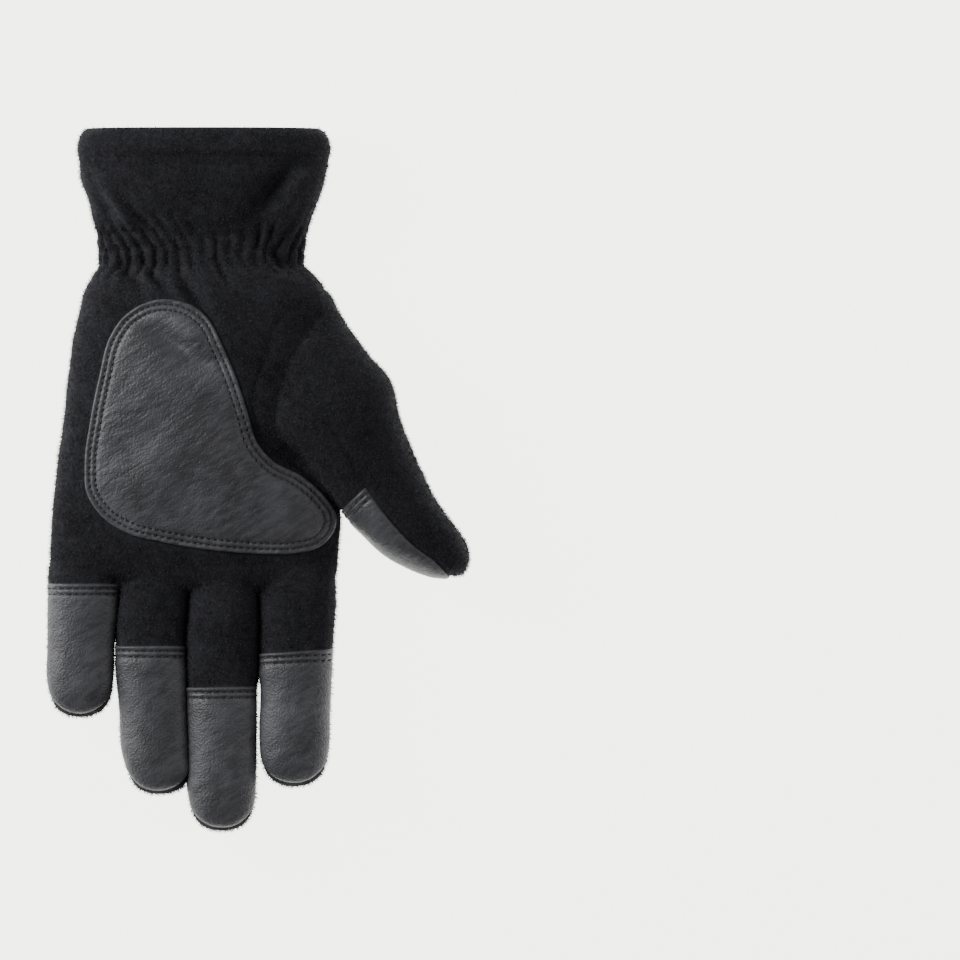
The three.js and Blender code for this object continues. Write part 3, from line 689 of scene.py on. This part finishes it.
def lay_leather(sheet, lay, heights, holes):
    """Lays a flat sheet on the cloth. lay gives the place on the skin for a flat point. Each run of holes
    is a row of points, stitch_points from hole to hole. Returns the stitches: ends, middle, way up."""
    rim = [v for v in sheet.verts if v.is_boundary]
    inner = [v for v in sheet.verts if not v.is_boundary]
    for vert in sheet.verts:
        vert.co = lay(*vert.co.xy)
    for _ in range(6):
        bmesh.ops.smooth_vert(sheet, verts=inner, **every_way)
        near = [[e.other_vert(v).co for e in v.link_edges if e.is_boundary] for v in rim]
        for vert, middle in zip(rim, [sum(places, Vector()) / 2 for places in near]):
            vert.co = vert.co.lerp(middle, 0.5)
    sheet.normal_update()
    for vert, height in zip(sheet.verts, heights):
        vert.co += vert.normal * height
    for row in holes:
        for number, vert in enumerate(row[:-1]):
            vert.co -= vert.normal * hole_depth * hole_shares[number % stitch_points]
    sheet.normal_update()
    stitches = []
    for row in holes:
        for start in range(0, len(row) - stitch_points, stitch_points):
            middle = row[start + stitch_points // 2]
            places = [vert.co.copy() for vert in (row[start], row[start + stitch_points], middle)]
            stitches.append((*places, middle.normal.copy()))
    return stitches


# Each visible stitch is a short length of bonded polyester thread that goes down through a needle hole at
# both ends.
thread_thickness = 0.5
thread_lift = 0.1
hole_width = 0.55


def sew(name, stitches, material):
    """A piece with the stitches of one patch."""
    thread = bmesh.new()
    for start, end, middle, up in stitches:
        run = end - start
        length = run.length - hole_width
        run.normalize()
        across = up.cross(run).normalized()
        turn = Matrix((run, across, run.cross(across))).transposed().to_4x4()
        size = Matrix.Diagonal((length / 2, thread_thickness / 2, thread_thickness / 2, 1))
        place = Matrix.Translation(middle + up * thread_lift) @ turn @ size
        bmesh.ops.create_uvsphere(thread, u_segments=6, v_segments=4, radius=1, matrix=place)
    bmesh.ops.recalc_face_normals(thread, faces=thread.faces)
    return add_piece(name, finish_mesh(thread, name), material, "leather")


# Goatskin, chrome tanned and dyed black: a fine pebbled grain and a satin finish that shows grey where it
# reflects a soft box. Wrinkles about 2 mm apart and longer creases run at a slant, deeper on the palm,
# where the hand closes, than on the stretched fingertips. Its colour has a soft random cloudy tone, and
# painted shade darkens it in the troughs of the wrinkles.
leather, tree = new_material("black_goatskin")
pebble = 0.7
wrinkle = 1.9
crease_gap = 9
wrinkle_turn = math.radians(32)
fingers_depth, palm_depth = 0.6, 2.5
at = add_node(tree, "ShaderNodeTexCoord").outputs["Object"]
warp = add_node(tree, "ShaderNodeTexNoise", {"Vector": at, "Scale": 180.0, "Detail": 1.0})
warp = {0: warp.outputs["Color"], "Scale": 0.0016}
warp = add_node(tree, "ShaderNodeVectorMath", warp, operation="SCALE").outputs[0]
bent = add_node(tree, "ShaderNodeVectorMath", {0: at, 1: warp}, operation="ADD").outputs[0]
pebbles = {"Vector": bent, "Scale": 1000 / pebble, "Randomness": 1.0}
pebbles = add_node(tree, "ShaderNodeTexVoronoi", pebbles, feature="SMOOTH_F1")
slanted = {"Vector": bent, "Rotation": (0, 0, wrinkle_turn), "Scale": (3.2, 1, 2.0)}
slanted = add_node(tree, "ShaderNodeMapping", slanted, vector_type="TEXTURE").outputs[0]
wrinkles = {"Vector": slanted, "Scale": 1000 / wrinkle, "Detail": 3.0, "Roughness": 0.55}
wrinkles = add_node(tree, "ShaderNodeTexNoise", wrinkles)
creases = {"Vector": slanted, "Scale": 1000 / crease_gap, "Detail": 3.0}
creases = add_node(tree, "ShaderNodeTexNoise", creases)
along_hand = add_node(tree, "ShaderNodeSeparateXYZ", {"Vector": at}).outputs["Y"]
on_palm = {"Value": along_hand, "From Min": -0.055, "From Max": -0.04}
on_palm |= {"To Min": fingers_depth, "To Max": palm_depth}
on_palm = add_node(tree, "ShaderNodeMapRange", on_palm).outputs[0]
clouds = add_node(tree, "ShaderNodeTexNoise", {"Vector": at, "Scale": 55.0, "Detail": 3.0})
lines = {0: creases.outputs["Fac"], 1: 0.8, 2: wrinkles.outputs["Fac"]}
lines = add_node(tree, "ShaderNodeMath", lines, operation="MULTIPLY_ADD").outputs[0]
lines = add_node(tree, "ShaderNodeMath", {0: lines, 1: on_palm}, operation="MULTIPLY").outputs[0]
relief = {0: pebbles.outputs["Distance"], 1: -1.1, 2: lines}
relief = add_node(tree, "ShaderNodeMath", relief, operation="MULTIPLY_ADD").outputs[0]
bump = add_node(tree, "ShaderNodeBump", {"Height": relief, "Strength": 0.6, "Distance": 0.0003})
# The colour: a random cloudy tone plus painted shade, darker in the wrinkles' troughs and lighter on their
# ridges.
tone = {0: clouds.outputs["Fac"], 1: wrinkles.outputs["Fac"]}
tone = add_node(tree, "ShaderNodeMath", tone, operation="ADD").outputs[0]
tone = add_node(tree, "ShaderNodeMapRange", {"Value": tone, "From Min": 0.8, "From Max": 1.2})
colours = {0: tone.outputs[0], 6: paint("#2a2a2e"), 7: paint("#404045")}
colour = add_node(tree, "ShaderNodeMix", colours, data_type="RGBA")
gloss = {"Value": clouds.outputs["Fac"], "From Min": 0.3, "From Max": 0.7, "To Min": 0.48, "To Max": 0.58}
gloss = add_node(tree, "ShaderNodeMapRange", gloss)
surface = {"Base Color": colour.outputs[2], "Roughness": gloss.outputs[0], "Normal": bump.outputs[0]}
surface |= {"Specular IOR Level": 0.42, "IOR": 1.5}
shader = add_node(tree, "ShaderNodeBsdfPrincipled", surface)
add_node(tree, "ShaderNodeOutputMaterial", {"Surface": shader.outputs[0]})

# Bonded polyester thread, black: smoother than the leather, with a small highlight on each stitch.
thread_polyester, tree = new_material("black_polyester_thread")
surface = {"Base Color": paint("#2c2c30"), "Roughness": 0.45, "Specular IOR Level": 0.5}
at = add_node(tree, "ShaderNodeTexCoord").outputs["Object"]
strand = 0.25
strands = add_node(tree, "ShaderNodeTexNoise", {"Vector": at, "Scale": 1000 / strand / 2, "Detail": 1.0})
strands = {"Height": strands.outputs["Fac"], "Distance": 0.0001}
surface["Normal"] = add_node(tree, "ShaderNodeBump", strands).outputs[0]
shader = add_node(tree, "ShaderNodeBsdfPrincipled", surface)
add_node(tree, "ShaderNodeOutputMaterial", {"Surface": shader.outputs[0]})

patch_skins = {}
leather_wall = {"thickness": 1.0, "offset": -1}


def add_patch(name, sheet, lay, heights, holes):
    """A leather patch from its flat sheet, with its stitches, in place of its CAD node."""
    stitches = lay_leather(sheet, lay, heights, holes)
    patch_skins[name] = BVHTree.FromBMesh(sheet)
    piece_name = name.replace("patch", "leather")
    mesh = finish_mesh(sheet, piece_name, ("SOLIDIFY", leather_wall))
    add_piece(piece_name, mesh, leather, "leather", name)
    sew(name.replace("patch", "stitches"), stitches, thread_polyester)


# The palm's patch of goatskin covers the hollow of the hand and runs out towards the thumb's crotch. Its
# edge is turned under and it is sewn down all round.
palm_outline = [
    (-10.1, 51.8), (-23.1, 46.6), (-29.6, 37.8), (-33.3, 24.1), (-37.0, 6.2), (-39.0, -8.9),
    (-38.0, -20.4), (-32.6, -28.4), (-23.1, -34.5), (-10.1, -37.9), (8.6, -40.9), (27.3, -42.3),
    (38.7, -42.0), (48.3, -39.0), (52.9, -32.8), (53.2, -26.9), (49.1, -20.4), (40.9, -13.3),
    (31.0, -8.1), (25.1, -1.6), (21.5, 9.8), (17.8, 21.3), (12.3, 34.5), (6.4, 45.1), (-1.2, 50.3),
]
palm_cell = 0.8
above_all = 80


def lay_on_palm(x, y):
    """The place on the skin under a point in plan."""
    return skin_tree.ray_cast(Vector((x, y, above_all)), Vector((0, 0, -1)))[0]


sheet, rows = cut_leather(flow(palm_outline[::-1], 0.5, closed=True), palm_cell)
spots = np.array([v.co.xy for v in sheet.verts])
heights = np.interp(clearance(spots, np.array([v.co.xy for v in rows[0]])), *zip(*sewn_edge))
sewn_rows = [[*rows[n], rows[n][0]] for n in (first_row, second_row)]
add_patch("palm_patch", sheet, lay_on_palm, heights, sewn_rows)


# A patch covers the palm's side of each fingertip, from a straight top edge round to the finger's end.
# Its sides and its end are caught in the side seam, so only the top edge is turned under and stitched.
def arc_table(across, deep):
    """Lengths along a quarter of an ellipse from its deep axis, and the angles that they reach."""
    angles = np.linspace(0, math.pi / 2, 91)
    pieces = np.hypot(across * np.cos(angles), deep * np.sin(angles)) * (angles[1] - angles[0])
    return np.r_[0, np.cumsum(pieces[:-1])], angles


def add_tip_patch(name, axis, frame_axes, half_sizes, tip, angles, slope):
    """Adds the patch of a fingertip. axis gives the middle of the finger at a distance below the top edge,
    and its half sizes there. frame_axes point across, up from the leather's middle and to the tip."""
    across, facing, ahead = (Vector(a) for a in frame_axes)
    run, tip_length = tip
    low_angle, high_angle, tip_angle, squareness = angles
    arc_across, angle_across = arc_table(*half_sizes)
    arc_tip, angle_tip = arc_table(tip_length, half_sizes[1])

    def lay(u, v):
        """The place on the skin of a flat point: u across the finger, v down from the top edge."""
        turn = math.copysign(np.interp(abs(u), arc_across, angle_across), u)
        bend = np.interp(v - run, arc_tip, angle_tip)
        centre, wide, deep = axis(min(v, run))
        way = across * math.sin(turn) * wide + facing * math.cos(turn) * math.cos(bend) * deep
        way += ahead * math.cos(turn) * math.sin(bend) * tip_length
        hit = skin_tree.ray_cast(centre, way)[0]
        rounded = abs(math.sin(turn)) ** finger_roundness + abs(math.cos(turn)) ** finger_roundness
        rounded **= -1 / finger_roundness
        farthest = way.length * rounded * slack
        return hit if (hit - centre).length < farthest else centre + way.normalized() * farthest

    low, high = (
        math.copysign(np.interp(abs(a), angle_across, arc_across), a) for a in (low_angle, high_angle)
    )
    length = run + np.interp(tip_angle, angle_tip, arc_tip)
    columns = round((high - low) / stitch_pitch) * stitch_points
    fine_length = edge_rows * edge_step
    coarse_rows = round((length - fine_length) / tip_cell)
    downs = [*np.arange(edge_rows) * edge_step, *np.linspace(fine_length, length, coarse_rows + 1)]
    last = len(downs) - 1
    sheet = bmesh.new()
    place = Matrix.Translation((columns / 2, last / 2, 0)) @ Matrix.Diagonal((columns, last, 1, 1))
    bmesh.ops.create_grid(sheet, x_segments=columns, y_segments=last, size=0.5, matrix=place)
    half = (high - low) / 2
    straight = length - half
    heights = []
    grid = {}
    for vert in sheet.verts:
        column, row = round(vert.co.x), round(vert.co.y)
        grid[column, row] = vert
        side = 2 * column / columns - 1
        down = downs[row]
        height = np.interp(down, *zip(*sewn_edge)) * np.interp(half * (1 - abs(side)), *zip(*plain_edge))
        heights.append(height * np.interp((length - down) / 2, *zip(*plain_edge)))
        end = max(down - straight, 0) / half
        u = (low + high) / 2 + half * side * math.sqrt(1 - squareness * end**2)
        v = min(down, straight) + half * end * math.sqrt(1 - squareness * side**2)
        vert.co = (u, v - slope * u * max(1 - down / straight, 0), 0)
    sheet.normal_update()
    bmesh.ops.reverse_faces(sheet, faces=[f for f in sheet.faces if f.normal.z > 0])
    holes = [[grid[column, row] for column in range(columns + 1)] for row in (first_row, second_row)]
    add_patch(name, sheet, lay, heights, holes)


tip_cell = 0.75
slack = 1.1
seam_angle = math.radians(70)
tip_angle = math.radians(53)
tip_squareness = 0.42
tip_round = 13
# Each finger's share of leather, and how many degrees the top edge slants
for name, leather_share, slant in [
    ("little", 0.945, 0), ("ring", 0.731, 0), ("middle", 0.602, 1), ("index", 0.693, 4),
]:
    _, length, _, root_y, tip_width, *_, tip_height, lift = finger_table[name]
    tip_y = root_y - length
    top_y = tip_y + leather_share * length
    rows = finger_rows(name)[::-1]

    def axis(v, rows=rows, top_y=top_y):
        """The middle of the finger at a distance below the patch's top edge, and its half sizes."""
        x, width, foot, crown = (np.interp(top_y - v, rows[:, 1], rows[:, i]) for i in (0, 2, 3, 4))
        foot -= flattening
        return Vector((x, top_y - v, (foot + crown) / 2)), width / 2, (crown - foot) / 2

    add_tip_patch(
        name + "_finger_patch",
        axis,
        ((1, 0, 0), (0, 0, 1), (0, -1, 0)),
        (tip_width / 2, tip_height / 2 + flattening / 2),
        (top_y - tip_y - tip_round, tip_round),
        (-seam_angle, seam_angle, tip_angle, tip_squareness),
        math.tan(math.radians(slant)),
    )

# The thumb's patch lies on its pad, which faces the index finger, from a short top edge to the tip.
thumb_top = -0.11
thumb_round = 0.28
thumb_middles = []
for row in thumb_rows:
    inner, outer = np.array(row[:2]), np.array(row[2:4])
    off = (inner + outer) / 2 - thumb_root
    half = np.linalg.norm(outer - inner) / 2
    thumb_middles.append((off @ thumb_heading, off @ thumb_sideways, half, row[4], row[5]))
thumb_middles = np.array(thumb_middles)


def thumb_axis(v):
    """The middle of the thumb at a distance below the patch's top edge, its half height and half width."""
    along = thumb_top * thumb_length + v
    ways, *columns = thumb_middles.T
    off, half, foot, crown = (np.interp(along, ways, column) for column in columns)
    foot -= flattening
    x, y = thumb_root + along * thumb_heading + off * thumb_sideways
    return Vector((x, y, (foot + crown) / 2)), (crown - foot) / 2, half


thumb_run = (1 - thumb_round - thumb_top) * thumb_length
add_tip_patch(
    "thumb_patch",
    thumb_axis,
    ((0, 0, 1), (*-thumb_sideways, 0), (*thumb_heading, 0)),
    (13.0, 12.5),
    (thumb_run, thumb_round * thumb_length),
    (math.radians(-50), math.radians(76), math.radians(74), 0.4),
    0.0,
)


# The nap: fine fibres brushed up from the fleece, everywhere that leather doesn't cover it. They lean
# towards the fingers. The real ones are some 30 micrometres thick and far more, so these are drawn
# coarser to show.
fibre_length = 1.5
fibre_thickness = 0.2
cover_reach = 0.9
spread_share = 0.75
lean_share = -0.25
upright_share = 0.8
nap_floor = 0.02

# The nap is the fleece's own black polyester. Single fibres catch the light, so some flecks are greyer.
nap_fibres, tree = new_material("black_polyester_nap")
fibre_patch = 0.7
at = add_node(tree, "ShaderNodeTexCoord").outputs["Object"]
flecks = add_node(tree, "ShaderNodeTexNoise", {"Vector": at, "Scale": 1000 / fibre_patch, "Detail": 1.0})
flecks = {"Value": flecks.outputs["Fac"], "From Min": 0.42, "From Max": 0.72}
flecks = add_node(tree, "ShaderNodeMapRange", flecks).outputs[0]
colours = {0: flecks, 6: paint("#141417"), 7: paint("#45454b")}
colour = add_node(tree, "ShaderNodeMix", colours, data_type="RGBA")
surface = {"Base Color": colour.outputs[2], "Roughness": 0.8, "Specular IOR Level": 0.2}
shader = add_node(tree, "ShaderNodeBsdfPrincipled", surface)
add_node(tree, "ShaderNodeOutputMaterial", {"Surface": shader.outputs[0]})


def raise_nap(name, mesh, fibres_per_mm2, seed):
    """The nap of one panel, as a joined mesh of small spikes."""
    bare = mesh.attributes.new("bare", "FLOAT", "POINT")
    covers = patch_skins.values()
    covered = [any(cover.find_nearest(v.co, cover_reach)[0] for cover in covers) for v in mesh.vertices]
    bare.data.foreach_set("value", [0.0 if under else 1.0 for under in covered])
    tree = bpy.data.node_groups.new(name, "GeometryNodeTree")
    tree.interface.new_socket("Geometry", in_out="INPUT", socket_type="NodeSocketGeometry")
    tree.interface.new_socket("Geometry", in_out="OUTPUT", socket_type="NodeSocketGeometry")
    cloth_in = add_node(tree, "NodeGroupInput").outputs[0]
    share = add_node(tree, "GeometryNodeInputNamedAttribute", {"Name": "bare"}, data_type="FLOAT")
    density = {0: share.outputs[0], 1: fibres_per_mm2}
    density = add_node(tree, "ShaderNodeMath", density, operation="MULTIPLY").outputs[0]
    points = {"Mesh": cloth_in, "Density": density, "Seed": seed}
    points = add_node(tree, "GeometryNodeDistributePointsOnFaces", points)
    spread = {"Min": (-1, -1, -1), "Max": (1, 1, 1), "Seed": seed + 1}
    spread = add_node(tree, "FunctionNodeRandomValue", spread, data_type="FLOAT_VECTOR").outputs[0]
    spread = {0: spread, "Scale": spread_share}
    spread = add_node(tree, "ShaderNodeVectorMath", spread, operation="SCALE").outputs[0]
    lean = {0: spread, 1: (0, lean_share, 0)}
    lean = add_node(tree, "ShaderNodeVectorMath", lean, operation="ADD").outputs[0]
    upright = {0: points.outputs["Normal"], "Scale": upright_share}
    upright = add_node(tree, "ShaderNodeVectorMath", upright, operation="SCALE").outputs[0]
    way = add_node(tree, "ShaderNodeVectorMath", {0: lean, 1: upright}, operation="ADD").outputs[0]
    turn = add_node(tree, "FunctionNodeAlignRotationToVector", {"Vector": way}, axis="Z").outputs[0]
    sizes = {2: 0.5, 3: 1.3, "Seed": seed + 2}
    sizes = add_node(tree, "FunctionNodeRandomValue", sizes, data_type="FLOAT").outputs[1]
    spike = {"Vertices": 3, "Radius Top": 0.0, "Radius Bottom": fibre_thickness / 2}
    spike["Depth"] = fibre_length
    spike = add_node(tree, "GeometryNodeMeshCone", spike, fill_type="NONE").outputs["Mesh"]
    fibres = {"Points": points.outputs["Points"], "Instance": spike, "Rotation": turn, "Scale": sizes}
    fibres = add_node(tree, "GeometryNodeInstanceOnPoints", fibres).outputs[0]
    fibres = add_node(tree, "GeometryNodeRealizeInstances", {"Geometry": fibres}).outputs[0]
    add_node(tree, "NodeGroupOutput", {"Geometry": fibres})
    bm = bmesh.new()
    bm.from_mesh(mesh)
    nap = finish_mesh(bm, name, ("NODES", {"node_group": tree}))
    place = numbers(nap.vertices, "co")
    place[:, 2] = np.maximum(place[:, 2], nap_floor)
    nap.vertices.foreach_set("co", place.ravel())
    add_piece(name, nap, nap_fibres, "fleece")


nap_densities = {"palm_panel": 2.25, "back_panel": 1.3, "thumb_pad_panel": 3.0, "thumb_back_panel": 3.0}
for number, (name, fibres_per_mm2) in enumerate(nap_densities.items()):
    mesh = bpy.data.meshes.new(name + "_skin")
    panel_skins[name].to_mesh(mesh)
    raise_nap(name.replace("panel", "nap"), mesh, fibres_per_mm2, 10 * number)
